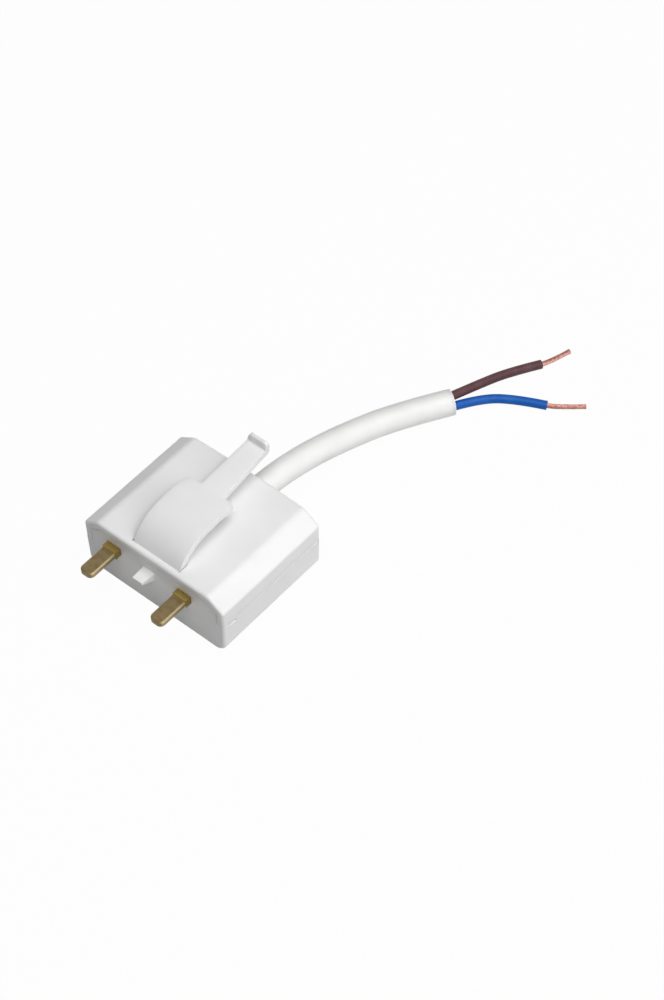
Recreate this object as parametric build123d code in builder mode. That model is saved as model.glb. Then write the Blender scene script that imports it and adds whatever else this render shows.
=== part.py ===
from build123d import *
import os
from math import acos, atan2, cos, degrees, pi, radians, sin, sqrt, tan

os.makedirs("parts", exist_ok=True)

# Millimetres. The flat base is at Z = 0, the blades point to -Y and the flex leaves to +Y.

# Housing
body_width = 42.5  # across the line where the sides meet the top bevels
body_depth = 33.1  # front face to the rear corners
body_height = 17.4
bevel_width = 4.4
bevel_height = 2.9
side_lean = 0.4  # each side leans in by this from the bevel line down to the base
rear_crown = 0.45  # the middle of the rear face stands this far behind its corners
parting_drop = 7.85  # parting line below the top
parting_ledge = 0.12  # the lower shell stands proud by this along the parting line
wall = 2.0
floor_thickness = 2.0
front_wall = 2.0
front_seam = 0.12  # between the front panel and the roof over it
corner_radius = 0.7  # round the outlines of the front and rear faces
foot_radius = 3.0  # along the sides of the base
bevel_radius = 0.9  # where the sides meet the bevels
crown_radius = 3.0  # where the bevels meet the top
seat_fit = 0.05  # between pieces that are fitted together and stay there
notch_length = 2.6  # pry notches in the parting line
notch_height = 0.9
notch_depth = 0.35  # at the rear end: the notch runs out to the front
notch_setback = 2.75

# Key peg on the front face
peg_length = 3.9
peg_root_width = 3.4
peg_tip_width = 3.0
peg_root_height = 2.3
peg_tip_height = 0.7
peg_drop = 4.55  # top of the peg below the top of the body

# Contacts
blade_spacing = 21.5
blade_offset = -1.2  # the pair of blades and the peg sit this far off the middle
blade_length = 9.8  # beyond the front face
blade_width = 3.8
blade_thickness = 1.8
blade_drop = 5.2  # middle of the blade below the top of the body
blade_edge = 0.35
blade_tip_radius = 1.3
collar_length = 1.7  # the thicker root beyond the front face
collar_width = 4.0
collar_thickness = 2.2
block_width = 7.0
block_length = 6.5
block_depth = 2.1  # below the middle of the blade
block_edge = 0.3
wire_hole_radius = 0.85
wire_hole_depth = 5.2

# Screws
terminal_screw_radius = 1.25
terminal_screw_setback = 4.2  # from the front of the contact block
terminal_head_radius = 2.0
terminal_head_height = 0.8
terminal_slot_width = 0.6
terminal_slot_depth = 0.45
clamp_screw_radius = 1.25
clamp_screw_spacing = 12.6
clamp_screw_reach = 4.5  # length in the lower shell
clamp_head_radius = 2.2
clamp_head_height = 1.2
clamp_slot_width = 0.7
clamp_slot_depth = 0.6
housing_screw_radius = 1.45
housing_screw_spacing = 29.2
housing_screw_setback = 6.3  # from the rear corners
housing_screw_reach = 5.0  # length in the upper shell
housing_head_radius = 2.6
housing_head_height = 1.8
housing_head_depth = 2.8  # the bore that holds the head
housing_slot_width = 0.8
housing_slot_length = 3.4
housing_slot_depth = 0.8
boss_wall = 1.7
screw_fit = 0.05
screw_clear = 0.15  # round shanks and heads that pass freely
head_clear = 0.3  # between the inner screw heads and the roof

# Cord clamp
clamp_width = 17.4
clamp_length = 4.6
clamp_gap = 0.3  # over the saddle, so that the bar grips the flex
clamp_setback = 3.2  # rear face of the bar from the rear corners
clamp_edge = 0.4

# Release latch
latch_width = 14.1
latch_thickness = 1.6
latch_radius = 12.0  # outside of the curved front
latch_apex = 11.9  # middle of that curve behind the front face
latch_rise = 5.6  # top of that curve above the top of the body
latch_crest = 4.9  # highest line of the leaf in front of the shoulders
latch_crest_slope = 5.0  # degrees, up to the crest
latch_crest_radius = 12.0
latch_reach = 20.8  # shoulders behind the front face
latch_droop = 0.65  # shoulders below the top of the curve
latch_shoulder_radius = 1.5
latch_side_clear = 0.25
tongue_root_width = 6.6
tongue_tip_width = 5.4
tongue_root_radius = 0.5
tongue_reach = 36.1  # lip behind the front face
tongue_lift = 1.8  # lip foot above the shoulders
tongue_bend_radius = 6.0
lip_height = 1.8
lip_thickness = 0.9
lip_rake = 0.5
lip_edge = 0.4
lip_heel_radius = 1.2
lip_corner_radius = 1.1
bead_radius = 0.65
bead_depth = 0.75  # middle of the bead below the top of the body
bead_fit = 0.05
latch_travel = 8.0  # degrees
latch_swing_clear = 0.25
latch_taper_angle = 15.0  # the root thins over this much of the curve
groove_lip_angle = 150.0

# Flex
flex_diameter = 6.6
flex_sink = 0.7  # middle of the flex below the parting line
flex_fit = 0.1
flex_lead = 9.5  # sheath inside the housing
flex_end_recess = 1.2
flex_end_wall = 0.7
core_diameter = 2.3
core_pitch = 2.36  # between the middles of the two cores
core_tilt = 56.0  # degrees: brown lies above and beside blue at the free end
core_start = 0.9  # the free cores start this far inside the end of the sheath
core_lead = 3.6  # straight stretch at both ends of a core inside the housing
strand_diameter = 1.3
strip_gap = 1.0  # bare wire between the core and its contact block
bare_lead = 2.2  # straight start of each free bare end
floor_clear = 0.05  # under the flex where it lies on the surface
run_share = 0.45  # most of a run that one bend may take up
held_share = 0.9  # the same on the first and last run of a held core

front_y = -body_depth / 2
rear_y = body_depth / 2
rear_reach = rear_y + rear_crown
half_width = body_width / 2
half_top = half_width - bevel_width
half_base = half_width - side_lean
bevel_z = body_height - bevel_height
parting_height = body_height - parting_drop
lean_slope = side_lean / bevel_z
half_parting = half_base + lean_slope * parting_height
lower_half_parting = half_parting + parting_ledge
roof_z = body_height - wall
panel_y = front_y + front_wall
inner_rear_y = rear_y - wall

peg_top = body_height - peg_drop
blade_x = {"left": blade_offset - blade_spacing / 2, "right": blade_offset + blade_spacing / 2}
blade_height = body_height - blade_drop
block_bottom = blade_height - block_depth
block_top = roof_z - head_clear - terminal_head_height
block_rear = panel_y + block_length
terminal_screw_y = panel_y + terminal_screw_setback
strand_z = blade_height - wire_hole_radius + strand_diameter / 2 + screw_fit

flex_radius = flex_diameter / 2
flex_z = parting_height - flex_sink
clamp_y = rear_y - clamp_setback - clamp_length / 2
clamp_bottom = parting_height + clamp_gap
clamp_top = roof_z - head_clear - clamp_head_height
clamp_screw_spots = [(side * clamp_screw_spacing / 2, clamp_y) for side in (-1, 1)]
housing_screw_y = rear_y - housing_screw_setback
housing_screw_spots = [(side * housing_screw_spacing / 2, housing_screw_y) for side in (-1, 1)]
boss_radius = housing_screw_radius + boss_wall
housing_screw_top = parting_height + housing_screw_reach

# Latch bead: its middle lies so that the curved front of the latch runs into it.
apex_y = front_y + latch_apex
apex_z = body_height + latch_rise
curve_z = apex_z - latch_radius
bead_z = body_height - bead_depth
bead_orbit = latch_radius - bead_radius
bead_y = apex_y - sqrt(bead_orbit**2 - (bead_z - curve_z) ** 2)
bead_angle = degrees(atan2(bead_z - curve_z, bead_y - apex_y))
taper_angle = bead_angle - latch_taper_angle
under_radius = latch_radius - latch_thickness
curve_end = 90 + latch_crest_slope
shoulder_y = front_y + latch_reach
crest_y = shoulder_y - latch_crest
shoulder_z = apex_z - latch_droop
lip_y = front_y + tongue_reach
lip_foot_z = shoulder_z + tongue_lift
lip_rear_y = lip_y + lip_rake + lip_thickness
tongue_end_y = lip_rear_y + lip_edge
tongue_taper = (tongue_root_width - tongue_tip_width) / (tongue_end_y - shoulder_y)
lip_width = tongue_tip_width + tongue_taper * (tongue_end_y - lip_y)


def polar(y, z, radius, angle):
    return (y + radius * cos(radians(angle)), z + radius * sin(radians(angle)))


def crowned_plan():
    # All that lies in front of the crowned rear face.
    rear_radius = (half_width**2 + rear_crown**2) / (2 * rear_crown)
    with BuildSketch(Plane.XY) as plan:
        with Locations((0, rear_reach - rear_radius)):
            Circle(rear_radius)
        Rectangle(2 * body_width, 4 * body_depth, mode=Mode.INTERSECT)
    return plan.sketch


def hood_section(y, inset):
    # The upper shell's outline, rounded, or moved in by inset, and cut off at the parting line.
    skirt = 2 * wall
    half_skirt = half_parting - lean_slope * skirt
    with BuildSketch(Plane.XZ.offset(-y)) as section:
        with BuildLine():
            Polyline(
                (-half_skirt, parting_height - skirt),
                (-half_width, bevel_z),
                (-half_top, body_height),
                (half_top, body_height),
                (half_width, bevel_z),
                (half_skirt, parting_height - skirt),
                close=True,
            )
        make_face()
        if inset:
            offset(amount=-inset, kind=Kind.INTERSECTION)
        else:
            fillet(section.vertices().group_by(Axis.Y)[-1], crown_radius)
            fillet(section.vertices().filter_by_position(Axis.Y, bevel_z, bevel_z), bevel_radius)
        with Locations((0, parting_height + body_height / 2)):
            Rectangle(2 * body_width, body_height, mode=Mode.INTERSECT)
    return section.sketch


def steep(edge):
    return abs((edge % 0.5).Z) > 0.9


def end_outlines(part):
    # The edges round the front and rear faces, without those in the parting line.
    ends = part.faces().sort_by(Axis.Y)
    outlines = ends[0].edges() + ends[-1].edges()
    return outlines.filter_by(lambda e: abs(e.center().Z - parting_height) > corner_radius / 2)


def corner_radii(points, end_share):
    # Each corner's radius leaves a straight stretch on the runs beside it.
    runs = [Vector(*b) - Vector(*a) for a, b in zip(points, points[1:])]
    radii = []
    for i in range(len(runs) - 1):
        half_turn = runs[i].get_angle(runs[i + 1]) / 2
        before = runs[i].length * (end_share if i == 0 else run_share)
        after = runs[i + 1].length * (end_share if i == len(runs) - 2 else run_share)
        radii.append(min(before, after) / tan(radians(half_turn)))
    return radii


# Lower shell: base, lower walls, and the front panel with the blade slots and the key peg
with BuildPart() as lower_shell:
    with BuildSketch(Plane.XZ.offset(-rear_reach)) as trough:
        with BuildLine():
            Polyline(
                (-half_base, 0),
                (half_base, 0),
                (lower_half_parting, parting_height),
                (-lower_half_parting, parting_height),
                close=True,
            )
        make_face()
        fillet(trough.vertices().group_by(Axis.Y)[0], foot_radius)
    extrude(amount=rear_reach - front_y)
    extrude(crowned_plan(), amount=parting_height, mode=Mode.INTERSECT)
    fillet(end_outlines(lower_shell), corner_radius)
    with BuildSketch(Plane.XZ.offset(-inner_rear_y)):
        with BuildLine():
            Polyline(
                (-half_base + wall, floor_thickness),
                (half_base - wall, floor_thickness),
                (half_parting - wall, parting_height),
                (-half_parting + wall, parting_height),
                close=True,
            )
        make_face()
    extrude(amount=inner_rear_y - panel_y, mode=Mode.SUBTRACT)
    extrude(hood_section(panel_y, wall + front_seam), amount=front_wall)
    # Pedestals under the contact blocks
    with BuildSketch(Plane.XY.offset(floor_thickness)):
        with Locations(*[(x, panel_y + block_length / 2) for x in blade_x.values()]):
            Rectangle(block_width, block_length)
    extrude(amount=block_bottom - floor_thickness)
    # Saddle under the flex and bosses around the housing screws
    with BuildSketch(Plane.XY.offset(floor_thickness)):
        with Locations((0, clamp_y)):
            Rectangle(clamp_width, clamp_length)
        with Locations(*housing_screw_spots):
            Circle(boss_radius)
    extrude(amount=parting_height - floor_thickness)
    with BuildSketch(Plane.XZ.offset(-rear_reach)):
        with Locations((0, flex_z)):
            Circle(flex_radius + flex_fit)
    extrude(amount=flex_lead + rear_crown, mode=Mode.SUBTRACT)
    with BuildSketch(Plane.XY.offset(parting_height)):
        with Locations(*clamp_screw_spots):
            Circle(clamp_screw_radius + screw_fit)
    extrude(amount=-clamp_screw_reach - screw_fit, mode=Mode.SUBTRACT)
    with BuildSketch(Plane.XY):
        with Locations(*housing_screw_spots):
            Circle(housing_head_radius + screw_clear)
    extrude(amount=housing_head_depth, mode=Mode.SUBTRACT)
    with BuildSketch(Plane.XY):
        with Locations(*housing_screw_spots):
            Circle(housing_screw_radius + screw_clear)
    extrude(amount=parting_height, mode=Mode.SUBTRACT)
    # Blade slots
    with BuildSketch(Plane.XZ.offset(-panel_y)):
        with Locations(*[(x, blade_height) for x in blade_x.values()]):
            Rectangle(collar_width + 2 * seat_fit, collar_thickness + 2 * seat_fit)
    extrude(amount=front_wall, mode=Mode.SUBTRACT)
    # Key peg: a wedge that keeps its top level and thins from below
    with BuildSketch(Plane.XZ.offset(-front_y)):
        with Locations((blade_offset, peg_top - peg_root_height / 2)):
            Rectangle(peg_root_width, peg_root_height)
    with BuildSketch(Plane.XZ.offset(peg_length - front_y)):
        with Locations((blade_offset, peg_top - peg_tip_height / 2)):
            Rectangle(peg_tip_width, peg_tip_height)
    loft()
    # Pry notches
    notch_front = front_y + notch_setback - notch_length / 2
    notch_rear = notch_front + notch_length
    with BuildSketch(Plane.XY.offset(parting_height)):
        for side in (-1, 1):
            with BuildLine():
                Polyline(
                    (side * lower_half_parting, notch_front),
                    (side * (lower_half_parting - notch_depth), notch_rear),
                    (side * (lower_half_parting + notch_depth), notch_rear),
                    close=True,
                )
            make_face()
    extrude(amount=-notch_height, mode=Mode.SUBTRACT)
lower_shell.part.label = "lower_shell"
export_step(lower_shell.part, "parts/lower_shell.step")

# Upper shell: a hood that is open in front, with the groove for the latch in its roof
with BuildPart() as upper_shell:
    extrude(hood_section(rear_reach, 0), amount=rear_reach - front_y)
    extrude(crowned_plan(), amount=body_height, mode=Mode.INTERSECT)
    fillet(end_outlines(upper_shell), corner_radius)
    extrude(hood_section(inner_rear_y, wall), amount=inner_rear_y - front_y, mode=Mode.SUBTRACT)
    # Bosses for the housing screws and ribs that hold the contact blocks down
    with BuildSketch(Plane.XY.offset(parting_height)):
        with Locations(*housing_screw_spots):
            Circle(boss_radius)
    extrude(amount=roof_z + wall / 2 - parting_height)
    with BuildSketch(Plane.XY.offset(block_top)):
        with Locations(*[(x, panel_y + seat_fit + wall / 2) for x in blade_x.values()]):
            Rectangle(block_width, wall)
    extrude(amount=roof_z + wall / 2 - block_top)
    with BuildSketch(Plane.XY.offset(parting_height)):
        with Locations(*housing_screw_spots):
            Circle(housing_screw_radius + screw_fit)
    extrude(amount=housing_screw_reach + screw_fit, mode=Mode.SUBTRACT)
    with BuildSketch(Plane.XZ.offset(-rear_reach)):
        with Locations((0, flex_z)):
            Circle(flex_radius + flex_fit)
    extrude(amount=wall + rear_crown, mode=Mode.SUBTRACT)
    # Groove: round under the bead, with its rear flank behind the pressed latch
    groove_radius = bead_radius + bead_fit
    taper_y, taper_z = polar(apex_y, curve_z, under_radius, taper_angle)
    taper_run = sqrt((taper_y - bead_y) ** 2 + (taper_z - bead_z) ** 2)
    taper_aim = degrees(atan2(taper_z - bead_z, taper_y - bead_y))
    heel_angle = taper_aim - degrees(acos(bead_radius / taper_run))
    flank_angle = heel_angle - latch_travel
    flank_y, flank_z = polar(bead_y, bead_z, bead_radius + latch_swing_clear, flank_angle)
    flank_rise = body_height + bead_depth - flank_z
    flank_top_y = flank_y + flank_rise / tan(radians(flank_angle + 90))
    lip_corner_y, lip_corner_z = polar(bead_y, bead_z, groove_radius, groove_lip_angle)
    with BuildSketch(Plane.YZ):
        with Locations((bead_y, bead_z)):
            Circle(groove_radius)
        with BuildLine():
            Polyline(
                (bead_y, bead_z - groove_radius),
                (flank_y, flank_z),
                (flank_top_y, body_height + bead_depth),
                (lip_corner_y, body_height + bead_depth),
                (lip_corner_y, lip_corner_z),
                (bead_y, bead_z),
                close=True,
            )
        make_face()
    extrude(amount=latch_width / 2 + latch_side_clear, both=True, mode=Mode.SUBTRACT)
upper_shell.part.label = "upper_shell"
export_step(upper_shell.part, "parts/upper_shell.step")

# Release latch: a curved leaf on a round bead, with a tongue that ends in a lip
with BuildPart() as release_latch:
    with BuildSketch(Plane.YZ) as profile:
        with BuildLine():
            front_arc = CenterArc((apex_y, curve_z), latch_radius, bead_angle, curve_end - bead_angle)
            crest_z = (front_arc @ 1).Y + (crest_y - (front_arc @ 1).X) * tan(radians(latch_crest_slope))
            Polyline(
                front_arc @ 1,
                (crest_y, crest_z),
                (shoulder_y, shoulder_z),
                (lip_y, lip_foot_z),
                (lip_y + lip_rake, lip_foot_z + lip_height),
                (lip_rear_y, lip_foot_z + lip_height),
                (lip_rear_y, lip_foot_z - latch_thickness),
                (shoulder_y, shoulder_z - latch_thickness),
                (crest_y, crest_z - latch_thickness),
                polar(apex_y, curve_z, under_radius, curve_end),
            )
            CenterArc((apex_y, curve_z), under_radius, curve_end, taper_angle - curve_end)
            heel = polar(bead_y, bead_z, bead_radius, heel_angle)
            Polyline((taper_y, taper_z), heel, (bead_y, bead_z), front_arc @ 0)
        make_face()
        with Locations((bead_y, bead_z)):
            Circle(bead_radius)
        for y, z, radius in (
            (crest_y, crest_z, latch_crest_radius),
            (crest_y, crest_z - latch_thickness, latch_crest_radius),
            (shoulder_y, shoulder_z, tongue_bend_radius),
            (shoulder_y, shoulder_z - latch_thickness, tongue_bend_radius),
            (lip_y, lip_foot_z, lip_edge),
            (lip_y + lip_rake, lip_foot_z + lip_height, lip_edge),
            (lip_rear_y, lip_foot_z + lip_height, lip_edge),
            (lip_rear_y, lip_foot_z - latch_thickness, lip_heel_radius),
        ):
            fillet(profile.vertices().sort_by_distance((y, z))[0], radius)
    extrude(amount=latch_width / 2, both=True)
    with BuildSketch(Plane.XY) as outline:
        with BuildLine():
            Polyline(
                (-latch_width / 2, front_y),
                (-latch_width / 2, shoulder_y),
                (-tongue_root_width / 2, shoulder_y),
                (-tongue_tip_width / 2, tongue_end_y),
                (tongue_tip_width / 2, tongue_end_y),
                (tongue_root_width / 2, shoulder_y),
                (latch_width / 2, shoulder_y),
                (latch_width / 2, front_y),
                close=True,
            )
        make_face()
        for side in (-1, 1):
            shoulder = outline.vertices().sort_by_distance((side * latch_width / 2, shoulder_y))[0]
            fillet(shoulder, latch_shoulder_radius)
            tongue_root = outline.vertices().sort_by_distance((side * tongue_root_width / 2, shoulder_y))[0]
            fillet(tongue_root, tongue_root_radius)
    extrude(amount=2 * body_height, mode=Mode.INTERSECT)
    with BuildSketch(Plane.XZ.offset(-tongue_end_y)) as front_view:
        with Locations((0, lip_foot_z / 2)):
            Rectangle(latch_width, lip_foot_z)
        with Locations((0, lip_foot_z)):
            Rectangle(lip_width, 2 * lip_height)
        fillet(front_view.vertices().group_by(Axis.Y)[-1], lip_corner_radius)
    extrude(amount=tongue_end_y - front_y, mode=Mode.INTERSECT)
release_latch.part.label = "release_latch"
export_step(release_latch.part, "parts/release_latch.step")

# Contacts: blade, collar and terminal block in one piece of brass
for name, x in blade_x.items():
    with BuildPart() as contact:
        with BuildSketch(Plane.XY.offset(blade_height - blade_thickness / 2)) as blade:
            with Locations((x, front_y - blade_length / 2)):
                Rectangle(blade_width, blade_length)
            fillet(blade.vertices().group_by(Axis.Y)[0], blade_tip_radius)
        extrude(amount=blade_thickness)
        blade_edges = contact.edges().filter_by(lambda e: e.center().Y < front_y - blade_edge)
        chamfer(blade_edges.filter_by(steep, reverse=True), blade_edge)
        with BuildSketch(Plane.XZ.offset(-panel_y)):
            with Locations((x, blade_height)):
                Rectangle(collar_width, collar_thickness)
        extrude(amount=front_wall + collar_length)
        with BuildSketch(Plane.XY.offset(block_bottom)):
            with Locations((x, panel_y + block_length / 2)):
                Rectangle(block_width, block_length)
        extrude(amount=block_top - block_bottom)
        chamfer(contact.faces().sort_by(Axis.Y)[-1].edges(), block_edge)
        with BuildSketch(Plane.XZ.offset(-block_rear)):
            with Locations((x, blade_height)):
                Circle(wire_hole_radius)
        extrude(amount=wire_hole_depth, mode=Mode.SUBTRACT)
        with BuildSketch(Plane.XY.offset(block_top)):
            with Locations((x, terminal_screw_y)):
                Circle(terminal_screw_radius + screw_fit)
        extrude(amount=blade_height - block_top, mode=Mode.SUBTRACT)
    contact.part.label = name + "_contact"
    export_step(contact.part, "parts/" + name + "_contact.step")

for name, x in blade_x.items():
    with BuildPart() as terminal_screw:
        with BuildSketch(Plane.XY.offset(block_top)):
            with Locations((x, terminal_screw_y)):
                Circle(terminal_screw_radius)
        extrude(amount=strand_z + strand_diameter / 2 + screw_fit - block_top)
        with BuildSketch(Plane.XY.offset(block_top)):
            with Locations((x, terminal_screw_y)):
                Circle(terminal_head_radius)
        extrude(amount=terminal_head_height)
        with BuildSketch(Plane.XY.offset(block_top + terminal_head_height)):
            with Locations((x, terminal_screw_y)):
                Rectangle(2 * terminal_head_radius, terminal_slot_width)
        extrude(amount=-terminal_slot_depth, mode=Mode.SUBTRACT)
    terminal_screw.part.label = name + "_terminal_screw"
    export_step(terminal_screw.part, "parts/" + name + "_terminal_screw.step")

# Cord clamp: a bar arched over the flex, pulled down by two screws
with BuildPart() as cord_clamp:
    with BuildSketch(Plane.XY.offset(clamp_bottom)):
        with Locations((0, clamp_y)):
            Rectangle(clamp_width, clamp_length)
    extrude(amount=clamp_top - clamp_bottom)
    chamfer(cord_clamp.edges().group_by(Axis.Z)[-1], clamp_edge)
    with BuildSketch(Plane.XZ.offset(-clamp_y - clamp_length / 2)):
        with Locations((0, flex_z)):
            Circle(flex_radius + seat_fit)
    extrude(amount=clamp_length, mode=Mode.SUBTRACT)
    with BuildSketch(Plane.XY.offset(clamp_bottom)):
        with Locations(*clamp_screw_spots):
            Circle(clamp_screw_radius + screw_clear)
    extrude(amount=clamp_top - clamp_bottom, mode=Mode.SUBTRACT)
cord_clamp.part.label = "cord_clamp"
export_step(cord_clamp.part, "parts/cord_clamp.step")

with BuildPart() as cord_clamp_screws:
    with BuildSketch(Plane.XY.offset(clamp_top)):
        with Locations(*clamp_screw_spots):
            Circle(clamp_screw_radius)
    extrude(amount=parting_height - clamp_screw_reach - clamp_top)
    with BuildSketch(Plane.XY.offset(clamp_top)):
        with Locations(*clamp_screw_spots):
            Circle(clamp_head_radius)
    extrude(amount=clamp_head_height)
    with BuildSketch(Plane.XY.offset(clamp_top + clamp_head_height)):
        with Locations(*clamp_screw_spots):
            Rectangle(clamp_slot_width, 2 * clamp_head_radius)
    extrude(amount=-clamp_slot_depth, mode=Mode.SUBTRACT)
cord_clamp_screws.part.label = "cord_clamp_screws"
export_step(cord_clamp_screws.part, "parts/cord_clamp_screws.step")

# Housing screws: driven from below, with sunk heads
with BuildPart() as housing_screws:
    with BuildSketch(Plane.XY.offset(housing_head_depth)):
        with Locations(*housing_screw_spots):
            Circle(housing_head_radius)
    extrude(amount=-housing_head_height)
    with BuildSketch(Plane.XY.offset(housing_head_depth)):
        with Locations(*housing_screw_spots):
            Circle(housing_screw_radius)
    extrude(amount=housing_screw_top - housing_head_depth)
    with BuildSketch(Plane.XY.offset(housing_head_depth - housing_head_height)):
        with Locations(*housing_screw_spots):
            Rectangle(housing_slot_width, housing_slot_length)
            Rectangle(housing_slot_length, housing_slot_width)
    extrude(amount=housing_slot_depth, mode=Mode.SUBTRACT)
housing_screws.part.label = "housing_screws"
export_step(housing_screws.part, "parts/housing_screws.step")

# Flex: it leaves level, comes down to the surface and bends to the right.
flex_rest = flex_radius + floor_clear
flex_drop = flex_z - flex_rest
flex_route = [
    (0, rear_y - flex_lead, flex_z),
    (0, rear_y + 3.9, flex_z),
    (1.25, rear_y + 17.55, flex_rest + 0.78 * flex_drop),
    (3.5, rear_y + 30.85, flex_rest + 0.31 * flex_drop),
    (7.7, rear_y + 43.95, flex_rest + 0.01 * flex_drop),
    (14.95, rear_y + 55.6, flex_rest),
]
end_x, end_y, end_z = flex_route[-1]
flex_heading = (Vector(*flex_route[-1]) - Vector(*flex_route[-2])).normalized()
flex_aside = Vector(0, 0, 1).cross(flex_heading).normalized()
tail_start = Vector(end_x, end_y, end_z) - flex_heading * core_start
core_shift = flex_aside * cos(radians(core_tilt)) + Vector(0, 0, sin(radians(core_tilt)))
brown_tail = [
    tuple(tail_start + core_shift * core_pitch / 2),
    (end_x + 1.6, end_y + 8.35, 3.5),
    (end_x + 4.3, end_y + 17.1, 2.4),
    (end_x + 8.5, end_y + 25.1, 1.5),
]
blue_tail = [
    tuple(tail_start - core_shift * core_pitch / 2),
    (end_x + 3.9, end_y + 6.3, 1.95),
    (end_x + 10.15, end_y + 11.9, 1.55),
    (end_x + 17.65, end_y + 15.5, 1.25),
]


def bare_wire(tail, tip):
    # The strands leave straight out of the core, then bend a little.
    heading = (Vector(*tail[-1]) - Vector(*tail[-2])).normalized()
    return [tail[-1], tuple(Vector(*tail[-1]) + heading * bare_lead), tip]


brown_bare = bare_wire(brown_tail, (end_x + 11.0, end_y + 33.4, 0.9))
blue_bare = bare_wire(blue_tail, (end_x + 24.95, end_y + 21.5, 0.8))

# Inside, each core swings over to its contact block.
core_end_y = block_rear + strip_gap


def inner_core(side, x):
    return [
        (side * core_pitch / 2, rear_y - flex_lead, flex_z),
        (side * core_pitch / 2, rear_y - flex_lead - core_lead, flex_z),
        (x, core_end_y + core_lead, strand_z),
        (x, core_end_y, strand_z),
    ]


wire_reach = block_rear - wire_hole_depth + 2 * screw_fit
tubes = {
    "flex_sheath": (flex_route, flex_diameter, run_share),
    "brown_core": (inner_core(-1, blade_x["left"]), core_diameter, held_share),
    "blue_core": (inner_core(1, blade_x["right"]), core_diameter, held_share),
    "brown_core_tail": (brown_tail, core_diameter, run_share),
    "blue_core_tail": (blue_tail, core_diameter, run_share),
    "brown_strands_tail": (brown_bare, strand_diameter, run_share),
    "blue_strands_tail": (blue_bare, strand_diameter, run_share),
}
for name, (points, diameter, end_share) in tubes.items():
    radii = corner_radii(points, end_share)
    with BuildPart() as tube:
        with BuildLine() as route:
            FilletPolyline(*points, radius=radii)
        with BuildSketch(Plane(origin=points[0], z_dir=Vector(*points[1]) - Vector(*points[0]))):
            Circle(diameter / 2)
        sweep(path=route.wire())
        if name == "flex_sheath":
            with BuildSketch(Plane(origin=points[-1], z_dir=-flex_heading)):
                Circle(flex_radius - flex_end_wall)
            extrude(amount=flex_end_recess, mode=Mode.SUBTRACT)
            recess = pi * (flex_radius - flex_end_wall) ** 2 * flex_end_recess
    tube.part.label = name
    export_step(tube.part, "parts/" + name + ".step")
    expected = pi * diameter**2 / 4 * route.wire().length - (recess if name == "flex_sheath" else 0)
    print(name, "radii", [round(r, 1) for r in radii], "length", round(route.wire().length, 1), end=" ")
    print("volume", round(tube.part.volume, 2), "of", round(expected, 2))

for name, x in (("brown_strands", blade_x["left"]), ("blue_strands", blade_x["right"])):
    with BuildPart() as strands:
        with BuildSketch(Plane.XZ.offset(-core_end_y)):
            with Locations((x, strand_z)):
                Circle(strand_diameter / 2)
        extrude(amount=core_end_y - wire_reach)
    strands.part.label = name
    export_step(strands.part, "parts/" + name + ".step")

print("latch bead at", round(bead_y, 4), round(bead_z, 4))
for name, (start, bend, tip) in (("brown", brown_bare), ("blue", blue_bare)):
    aim = (Vector(*tip) - Vector(*bend)).normalized()
    print(name, "wire end at", [round(c, 3) for c in tip], "aims along", [round(c, 5) for c in aim], end=" ")
    print("straight for", round((Vector(*tip) - Vector(*bend)).length - run_share * bare_lead, 2))
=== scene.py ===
import math
import random

import bmesh
import bpy
from mathutils import Matrix, Vector


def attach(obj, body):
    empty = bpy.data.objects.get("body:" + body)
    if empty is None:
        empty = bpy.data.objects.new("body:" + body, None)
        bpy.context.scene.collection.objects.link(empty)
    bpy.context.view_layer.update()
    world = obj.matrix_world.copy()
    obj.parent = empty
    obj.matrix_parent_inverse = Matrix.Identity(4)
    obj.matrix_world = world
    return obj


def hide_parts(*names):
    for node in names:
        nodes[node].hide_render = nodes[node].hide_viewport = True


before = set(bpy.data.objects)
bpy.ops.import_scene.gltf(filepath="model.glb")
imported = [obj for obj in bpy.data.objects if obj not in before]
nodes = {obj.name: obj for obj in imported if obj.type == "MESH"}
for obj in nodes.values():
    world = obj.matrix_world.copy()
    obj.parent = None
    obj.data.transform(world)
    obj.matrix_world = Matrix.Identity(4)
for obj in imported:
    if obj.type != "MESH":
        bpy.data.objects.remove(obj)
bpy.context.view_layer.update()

scene = bpy.context.scene
scene.view_settings.view_transform = "Standard"
mmPerMetre = 1000
noiseSpan = (0.3, 0.7)  # most of a noise's values lie between these
mixShare, mixFrom, mixTo, mixed = 0, 6, 7, 2  # sockets of a Mix node that mixes colours
print("frame loaded:", len(nodes), "nodes")


def hexLinear(text):
    # sRGB hex to linear red, green, blue, alpha
    parts = [int(text[i:i + 2], 16) / 255 for i in (1, 3, 5)]
    return tuple(c / 12.92 if c <= 0.04045 else ((c + 0.055) / 1.055) ** 2.4 for c in parts) + (1.0,)


def addNode(tree, kind, settings=None, values=None, links=None):
    # values go on input sockets, links are input socket to output socket
    node = tree.nodes.new(kind)
    for key, value in (settings or {}).items():
        setattr(node, key, value)
    for key, value in (values or {}).items():
        node.inputs[key].default_value = value
    for key, socket in (links or {}).items():
        tree.links.new(socket, node.inputs[key])
    return node


def newMaterial(name):
    material = bpy.data.materials.new(name)
    material.use_nodes = True
    material.node_tree.nodes.clear()
    return material, material.node_tree


def patchyColor(tree, coords, look, ground, spots):
    # two shades in soft patches: gives the share of the second shade, and the colour
    patches = addNode(tree, "ShaderNodeTexNoise",
                      values={"Scale": mmPerMetre / look["patchMm"], "Detail": look["patchDetail"]},
                      links={"Vector": coords})
    share = addNode(tree, "ShaderNodeMapRange",
                    values={"From Min": look["patchRange"][0], "From Max": look["patchRange"][1]},
                    links={"Value": patches.outputs["Fac"]}).outputs[0]
    color = addNode(tree, "ShaderNodeMix", {"data_type": "RGBA"},
                    {mixFrom: hexLinear(ground), mixTo: hexLinear(spots)}, {mixShare: share}).outputs[mixed]
    return share, color


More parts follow.
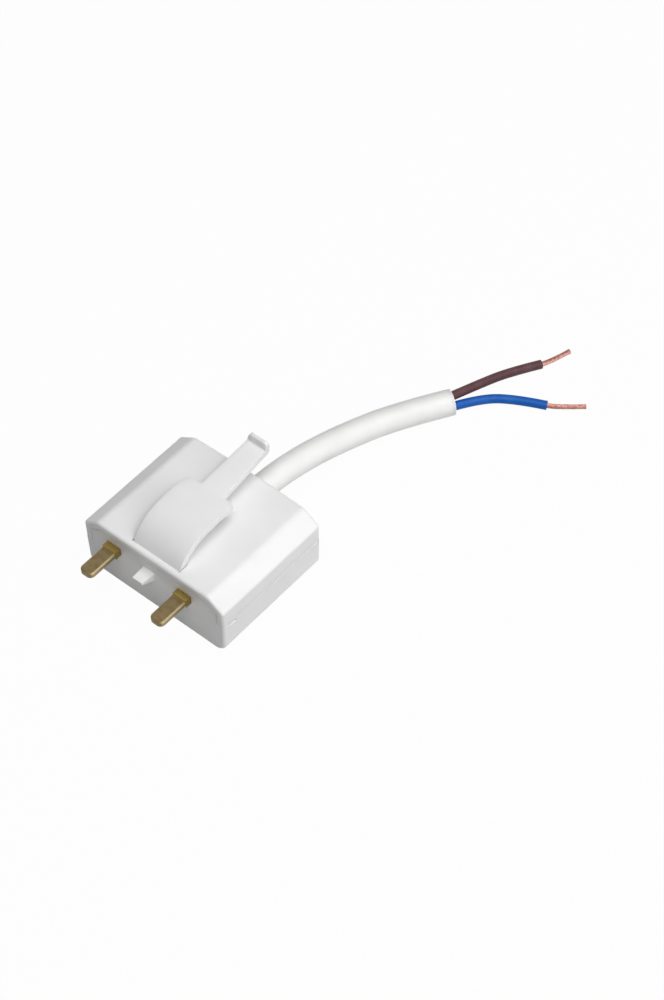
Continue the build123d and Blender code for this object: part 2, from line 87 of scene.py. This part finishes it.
def plasticFinish(name, look):
    # soft patches, a sheen that varies from place to place, and a fine skin drawn coarser than life to show
    material, tree = newMaterial(name)
    coords = addNode(tree, "ShaderNodeTexCoord").outputs["Object"]
    _, color = patchyColor(tree, coords, look, look["color"], look["patchColor"])
    polish = addNode(tree, "ShaderNodeTexNoise", values={"Scale": mmPerMetre / look["polishMm"]},
                     links={"Vector": coords})
    sheen = addNode(tree, "ShaderNodeMapRange",
                    values={"From Min": noiseSpan[0], "From Max": noiseSpan[1],
                            "To Min": look["roughness"][0], "To Max": look["roughness"][1]},
                    links={"Value": polish.outputs["Fac"]})
    grain = addNode(tree, "ShaderNodeTexNoise", values={"Scale": mmPerMetre / look["grainMm"]},
                    links={"Vector": coords})
    skin = addNode(tree, "ShaderNodeBump",
                   values={"Strength": look["grainStrength"],
                           "Distance": look["grainHeightMm"] / mmPerMetre},
                   links={"Height": grain.outputs["Fac"]})
    shader = addNode(tree, "ShaderNodeBsdfPrincipled", values=look["surface"],
                     links={"Base Color": color, "Roughness": sheen.outputs[0],
                            "Normal": skin.outputs["Normal"]})
    addNode(tree, "ShaderNodeOutputMaterial", links={"Surface": shader.outputs[0]})
    return material


def metalFinish(name, look):
    # bright metal with darker patches, which are duller too
    material, tree = newMaterial(name)
    coords = addNode(tree, "ShaderNodeTexCoord").outputs["Object"]
    share, color = patchyColor(tree, coords, look, look["bright"], look["dull"])
    sheen = addNode(tree, "ShaderNodeMapRange",
                    values={"To Min": look["roughness"][0], "To Max": look["roughness"][1]},
                    links={"Value": share})
    shader = addNode(tree, "ShaderNodeBsdfPrincipled", values={"Metallic": 1.0},
                     links={"Base Color": color, "Roughness": sheen.outputs[0]})
    addNode(tree, "ShaderNodeOutputMaterial", links={"Surface": shader.outputs[0]})
    return material


# Moulded white ABS: faint cloudiness of the pigment, a sheen that varies with the mould's polish,
# a fine skin, and light that goes a little way in, which softens the shading
absLook = {"color": "#EFEFEF", "patchColor": "#EAEAEA", "patchMm": 14.0, "patchDetail": 2.0,
           "patchRange": (0.35, 0.65), "polishMm": 5.0, "roughness": (0.36, 0.46),
           "grainMm": 0.5, "grainHeightMm": 0.003, "grainStrength": 0.25,
           "surface": {"IOR": 1.5, "Specular IOR Level": 0.35, "Subsurface Weight": 0.5,
                       "Subsurface Scale": 0.0015, "Subsurface Radius": (1.0, 0.95, 0.9)}}
mouldedAbs = plasticFinish("mouldedWhiteAbs", absLook)

# Extruded white vinyl sheath: softer than the housing and milky, with faint handling marks,
# and a sheen that keeps its edges bright
vinylLook = {"color": "#EEEEED", "patchColor": "#E8E8E5", "patchMm": 7.0, "patchDetail": 4.0,
             "patchRange": (0.45, 0.8), "polishMm": 3.5, "roughness": (0.4, 0.55),
             "grainMm": 0.35, "grainHeightMm": 0.004, "grainStrength": 0.3,
             "surface": {"IOR": 1.5, "Subsurface Weight": 0.3, "Subsurface Scale": 0.0015,
                         "Subsurface Radius": (1.0, 0.95, 0.9), "Sheen Weight": 0.5, "Sheen Roughness": 0.4}}
sheathVinyl = plasticFinish("whiteVinylSheath", vinylLook)

# Core insulation: thin vinyl in the two wiring colours, rubbed paler in places
coreLook = {"shades": {"brown": ("#523338", "#624347"), "blue": ("#0456AC", "#1562B4")},
            "patchMm": 3.0, "patchDetail": 5.0, "patchRange": (0.5, 0.75), "polishMm": 1.5,
            "roughness": (0.4, 0.55), "grainMm": 0.3, "grainHeightMm": 0.004, "grainStrength": 0.3,
            "surface": {"Specular IOR Level": 0.25}}
coreVinyl = {}
for shade, (color, rubbed) in coreLook["shades"].items():
    coreVinyl[shade] = plasticFinish(shade + "CoreVinyl", {**coreLook, "color": color, "patchColor": rubbed})

# Bare copper wire: pinkish, with darker spots where it has begun to tarnish
copperLook = {"bright": "#B28379", "dull": "#8E645D", "patchMm": 0.7, "patchDetail": 3.0,
              "patchRange": (0.42, 0.68), "roughness": (0.33, 0.4)}
bareCopper = metalFinish("bareCopperWire", copperLook)

# Zinc-plated steel screws: bluish grey with cloudy plating
zincLook = {"bright": "#B4B7BB", "dull": "#8F9398", "patchMm": 1.2, "patchDetail": 3.0,
            "patchRange": (0.42, 0.68), "roughness": (0.28, 0.42)}
zincSteel = metalFinish("zincPlatedSteel", zincLook)

# Stamped brass: faces dulled to olive brown, sides and sheared edges paler (edge wear and painted light
# for the lit side faces), root band warmer, and drag marks along the blade, drawn wider than life to show
brassLook = {"dull": "#7A6B4E", "dark": "#6C5C40", "edgeWearAndPaintedLight": "#9C8E6C", "root": "#9B864C",
             "patchMm": 1.6, "patchDetail": 4.0, "patchRange": (0.4, 0.7), "roughness": (0.32, 0.5),
             "middleMm": -1.2, "halfSpacingMm": 10.75,  # of the pair of blades, across the housing
             # the pale band on the blades' sides is edge wear and painted light for the lit side faces
             "edgeWearAndPaintedLightSpanMm": (1.5, 1.75),  # out from a blade's middle line
             "rootSpanMm": (-18.6, -18.2),  # along the housing
             "scratchMm": (0.12, 4.0, 0.12), "scratchDetail": 2.0,
             "scratchDepthMm": 0.008, "scratchStrength": 0.3}
dullBrass, tree = newMaterial("dulledBrass")
coords = addNode(tree, "ShaderNodeTexCoord").outputs["Object"]
axes = addNode(tree, "ShaderNodeSeparateXYZ", links={"Vector": coords}).outputs
side = axes["X"]  # the loop makes it the distance from the nearer blade's middle line
for offsetMm in (brassLook["middleMm"], brassLook["halfSpacingMm"]):
    side = addNode(tree, "ShaderNodeMath", {"operation": "SUBTRACT"}, {1: offsetMm / mmPerMetre},
                   {0: side}).outputs[0]
    side = addNode(tree, "ShaderNodeMath", {"operation": "ABSOLUTE"}, links={0: side}).outputs[0]
_, color = patchyColor(tree, coords, brassLook, brassLook["dull"], brassLook["dark"])
# paler sides: edge wear and painted light for the lit side faces; warmer band at the root
for zone, reach in (("edgeWearAndPaintedLight", side), ("root", axes["Y"])):
    start, end = brassLook[zone + "SpanMm"]
    share = addNode(tree, "ShaderNodeMapRange",
                    values={"From Min": start / mmPerMetre, "From Max": end / mmPerMetre},
                    links={"Value": reach}).outputs[0]
    color = addNode(tree, "ShaderNodeMix", {"data_type": "RGBA"}, {mixTo: hexLinear(brassLook[zone])},
                    {mixShare: share, mixFrom: color}).outputs[mixed]
drag = addNode(tree, "ShaderNodeMapping",
               values={"Scale": tuple(mmPerMetre / size for size in brassLook["scratchMm"])},
               links={"Vector": coords})
scratches = addNode(tree, "ShaderNodeTexNoise", values={"Scale": 1.0, "Detail": brassLook["scratchDetail"]},
                    links={"Vector": drag.outputs[0]})
worn = addNode(tree, "ShaderNodeBump",
               values={"Strength": brassLook["scratchStrength"],
                       "Distance": brassLook["scratchDepthMm"] / mmPerMetre},
               links={"Height": scratches.outputs["Fac"]})
sheen = addNode(tree, "ShaderNodeMapRange",
                values={"From Min": noiseSpan[0], "From Max": noiseSpan[1],
                        "To Min": brassLook["roughness"][0], "To Max": brassLook["roughness"][1]},
                links={"Value": scratches.outputs["Fac"]})
shader = addNode(tree, "ShaderNodeBsdfPrincipled", values={"Metallic": 1.0},
                 links={"Base Color": color, "Roughness": sheen.outputs[0],
                        "Normal": worn.outputs["Normal"]})
addNode(tree, "ShaderNodeOutputMaterial", links={"Surface": shader.outputs[0]})
print("materials made")

finishes = {
    mouldedAbs: ["lower_shell", "upper_shell", "release_latch", "cord_clamp"],
    sheathVinyl: ["flex_sheath"],
    coreVinyl["brown"]: ["brown_core", "brown_core_tail"],
    coreVinyl["blue"]: ["blue_core", "blue_core_tail"],
    dullBrass: ["left_contact", "right_contact"],
    bareCopper: ["brown_strands", "blue_strands", "brown_strands_tail", "blue_strands_tail"],
    zincSteel: ["left_terminal_screw", "right_terminal_screw", "cord_clamp_screws", "housing_screws"],
}
for material, names in finishes.items():
    for name in names:
        nodes[name].data.materials.clear()
        nodes[name].data.materials.append(material)


def cordCurve(name, lines, diameterMm=0.0, lengthSteps=16, roundSteps=7):
    # one smooth spline for each line, with the line's points, in millimetres, as its control points
    curve = bpy.data.curves.new(name, "CURVE")
    curve.dimensions = "3D"
    curve.resolution_u = lengthSteps
    curve.bevel_depth = diameterMm / 2 / mmPerMetre
    curve.bevel_resolution = roundSteps
    curve.use_fill_caps = True
    for line in lines:
        spline = curve.splines.new("NURBS")
        spline.points.add(len(line) - 1)
        for point, place in zip(spline.points, line):
            point.co = (*[c / mmPerMetre for c in place], 1.0)
        spline.order_u = 3
        spline.use_endpoint_u = True
    piece = bpy.data.objects.new(name, curve)
    scene.collection.objects.link(piece)
    return piece


def dressCord(piece, material, node):
    piece.data.materials.append(material)
    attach(piece, "housing")
    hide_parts(node)


# Flex: out of the rear face, down to the surface and off to the right
flex = {"diameterMm": 6.6, "lengthMm": 68.3, "exitMm": (0, 17.0, 8.85),
        "routeMm": [(0, 7.05, 8.85), (0, 20.45, 8.85), (1.25, 34.1, 7.64), (3.5, 47.4, 5.055),
                    (7.7, 60.5, 3.405), (14.95, 72.15, 3.35)]}
sheath = cordCurve("flexSheath", [flex["routeMm"]], flex["diameterMm"])
dressCord(sheath, sheathVinyl, "flex_sheath")

# Cut end of the sheath: its wall stands a little way round the cores
cutEnd = {"outerMm": 6.56, "boreMm": 5.2, "heightMm": 0.5, "edgeMm": 0.12, "edgeSteps": 2,
          "steps": 48, "mergeMm": 0.001, "nearMm": 0.01, "sharpDeg": 50}
bore = cutEnd["boreMm"] / 2 / mmPerMetre
outer = cutEnd["outerMm"] / 2 / mmPerMetre
height = cutEnd["heightMm"] / mmPerMetre
near = cutEnd["nearMm"] / mmPerMetre
outline = ((bore, 0, 0), (outer, 0, 0), (outer, 0, height), (bore, 0, height))
bm = bmesh.new()
corners = [bm.verts.new(place) for place in outline]
section = [bm.edges.new(pair) for pair in zip(corners, corners[1:] + corners[:1])]
bmesh.ops.spin(bm, geom=corners + section, cent=(0, 0, 0), axis=(0, 0, 1), angle=2 * math.pi,
               steps=cutEnd["steps"], use_merge=True)
bmesh.ops.remove_doubles(bm, verts=bm.verts, dist=cutEnd["mergeMm"] / mmPerMetre)
bmesh.ops.recalc_face_normals(bm, faces=bm.faces)
onTop = [e for e in bm.edges if all(abs(v.co.z - height) < near for v in e.verts)]
lips = [e for e in onTop if abs(e.verts[0].co.length - e.verts[1].co.length) < near]  # not the spokes
bmesh.ops.bevel(bm, geom=lips, offset=cutEnd["edgeMm"] / mmPerMetre, segments=cutEnd["edgeSteps"],
                profile=0.5, affect="EDGES", material=-1)
last, end = (Vector(place) / mmPerMetre for place in flex["routeMm"][-2:])
heading = (end - last).to_track_quat("Z", "Y").to_matrix().to_4x4()
bmesh.ops.transform(bm, matrix=Matrix.Translation(end) @ heading, verts=bm.verts)
for face in bm.faces:
    face.smooth = True
mesh = bpy.data.meshes.new("sheathRim")
bm.to_mesh(mesh)
bm.free()
mesh.set_sharp_from_angle(angle=math.radians(cutEnd["sharpDeg"]))
mesh.materials.append(sheathVinyl)
rim = bpy.data.objects.new("sheathRim", mesh)
scene.collection.objects.link(rim)
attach(rim, "housing")

# Core tails: brown runs nearly straight, blue curls to the right
coreTails = {"diameterMm": 2.3,
             "brown": [(13.914, 71.735, 4.332), (16.55, 80.5, 3.5), (19.25, 89.25, 2.4),
                       (23.45, 97.25, 1.5)],
             "blue": [(15.035, 71.037, 2.375), (18.85, 78.45, 1.95), (25.1, 84.05, 1.55),
                      (32.6, 87.65, 1.25)]}
for shade in ("brown", "blue"):
    tail = cordCurve(shade + "Tail", [coreTails[shade]], coreTails["diameterMm"])
    dressCord(tail, coreVinyl[shade], shade + "_core_tail")

# Bare ends: fine strands laid round each other, a little loose at the tip
bareEnds = {"brown": [(23.45, 97.25, 1.5), (24.468, 99.188, 1.282), (25.95, 105.55, 0.9)],
            "blue": [(32.6, 87.65, 1.25), (34.582, 88.601, 1.171), (39.9, 93.65, 0.8)],
            "strandMm": 0.25, "rings": ((1, 0.0), (6, 0.26), (12, 0.52)),  # strands, and their ring's radius
            "layMm": 8.0,  # length of one turn
            "looseMm": 0.05, "looseRange": (-0.3, 1.0), "seed": 7,
            "keepEvery": 3, "lengthSteps": 4, "roundSteps": 2}


def laidStrand(line, runs, radius, start, flare):
    # the places of one strand, wound round the line of the wire
    places = []
    for i, point in enumerate(line):
        ahead = (line[min(i + 1, len(line) - 1)] - line[max(i - 1, 0)]).normalized()
        aside = ahead.cross(Vector((0, 0, 1))).normalized()
        up = aside.cross(ahead)
        turn = start + 2 * math.pi * runs[i] / bareEnds["layMm"]
        reach = radius + flare * (runs[i] / runs[-1]) ** 2
        places.append(point + reach * (math.cos(turn) * aside + math.sin(turn) * up))
    return places


dice = random.Random(bareEnds["seed"])
for shade in ("brown", "blue"):
    route = cordCurve(shade + "BareRoute", [bareEnds[shade]])
    routeMesh = bpy.data.meshes.new_from_object(route)
    line = [v.co * mmPerMetre for v in routeMesh.vertices]
    bpy.data.objects.remove(route)
    bpy.data.meshes.remove(routeMesh)
    step = bareEnds["keepEvery"]
    line = line[::step] + ([line[-1]] if (len(line) - 1) % step else [])
    runs = [0.0]
    for a, b in zip(line, line[1:]):
        runs.append(runs[-1] + (b - a).length)
    wound = []
    for count, radius in bareEnds["rings"]:
        for k in range(count):
            flare = dice.uniform(*bareEnds["looseRange"]) * bareEnds["looseMm"] * (radius > 0)
            wound.append(laidStrand(line, runs, radius, 2 * math.pi * k / count, flare))
    strands = cordCurve(shade + "Strands", wound, bareEnds["strandMm"], bareEnds["lengthSteps"],
                        bareEnds["roundSteps"])
    dressCord(strands, bareCopper, shade + "_strands_tail")
print("flex, cores and strands made")


def seenShare(tree):
    # 1 for rays from the camera, a glossy surface or something clear, and 0 for the rest
    ray = addNode(tree, "ShaderNodeLightPath")
    share = ray.outputs["Is Camera Ray"]
    for kind in ("Is Glossy Ray", "Is Transmission Ray"):
        share = addNode(tree, "ShaderNodeMath", {"operation": "MAXIMUM"},
                        links={0: share, 1: ray.outputs[kind]}).outputs[0]
    return share


# White paper floor: nearly white to the camera and in reflections, with a faint shadow.
# It throws light on the sides from below.
floorLook = {"sizeM": 6.0, "color": "#C8C8C8", "white": 0.97}
mesh = bpy.data.meshes.new("studioFloor")
bm = bmesh.new()
bmesh.ops.create_grid(bm, x_segments=1, y_segments=1, size=floorLook["sizeM"] / 2)
bm.to_mesh(mesh)
bm.free()
floor = bpy.data.objects.new("studioFloor", mesh)
scene.collection.objects.link(floor)
paper, tree = newMaterial("whitePaperFloor")
share = addNode(tree, "ShaderNodeMath", {"operation": "MULTIPLY"}, {1: floorLook["white"]},
                {0: seenShare(tree)})
matte = addNode(tree, "ShaderNodeBsdfDiffuse", values={"Color": hexLinear(floorLook["color"])})
glow = addNode(tree, "ShaderNodeEmission", values={"Strength": 1.0})
shader = addNode(tree, "ShaderNodeMixShader",
                 links={0: share.outputs[0], 1: matte.outputs[0], 2: glow.outputs[0]})
addNode(tree, "ShaderNodeOutputMaterial", links={"Surface": shader.outputs[0]})
mesh.materials.append(paper)

# World: white where it is seen, and almost no light from it elsewhere
worldLook = {"color": "#FFFFFF", "light": 0.02}
world = bpy.data.worlds.new("studioWorld")
scene.world = world
world.use_nodes = True
tree = world.node_tree
tree.nodes.clear()
level = addNode(tree, "ShaderNodeMapRange", values={"To Min": worldLook["light"], "To Max": 1.0},
                links={"Value": seenShare(tree)})
sky = addNode(tree, "ShaderNodeBackground", values={"Color": hexLinear(worldLook["color"])},
              links={"Strength": level.outputs[0]})
addNode(tree, "ShaderNodeOutputWorld", links={"Surface": sky.outputs[0]})

# Soft boxes: a big one above, one on the right that also lights the roof under the latch,
# and a weak one low on the right
softBoxes = {"overhead": {"powerW": 6.8, "sizeM": (0.9, 0.7), "placeM": (0.263, 0.0, 0.861)},
             "right": {"powerW": 2.6, "sizeM": (0.9, 0.6), "placeM": (0.636, 0.0, 0.636)},
             "lowRight": {"powerW": 1.0, "sizeM": (0.6, 0.16), "placeM": (0.89, 0.0, 0.09)}}
for name, look in softBoxes.items():
    lamp = bpy.data.lights.new(name + "SoftBox", "AREA")
    lamp.energy = look["powerW"]
    lamp.shape = "RECTANGLE"
    lamp.size, lamp.size_y = look["sizeM"]
    box = bpy.data.objects.new(name + "SoftBox", lamp)
    box.location = look["placeM"]
    box.rotation_euler = Vector(look["placeM"]).to_track_quat("Z", "Y").to_euler()
    scene.collection.objects.link(box)

# Camera: fitted to the corners of the housing
view = {"placeMm": (270.15, -258.36, 477.69),
        "azimuthDeg": 41.697, "elevationDeg": 50.765, "rollDeg": -1.892,
        "lensMm": 94.0, "sensorMm": 36.0, "clipM": (0.01, 20.0)}
camera = bpy.data.cameras.new("photoCamera")
camera.sensor_fit = "AUTO"
camera.sensor_width = view["sensorMm"]
camera.lens = view["lensMm"]
camera.clip_start, camera.clip_end = view["clipM"]
shot = bpy.data.objects.new("photoCamera", camera)
swing = Matrix.Rotation(math.radians(view["azimuthDeg"]), 4, "Z")
tilt = Matrix.Rotation(math.radians(90 - view["elevationDeg"]), 4, "X")
roll = Matrix.Rotation(math.radians(view["rollDeg"]), 4, "Z")
shot.matrix_world = Matrix.Translation(Vector(view["placeMm"]) / mmPerMetre) @ swing @ tilt @ roll
scene.collection.objects.link(shot)
scene.camera = shot
print("floor, light and camera set")
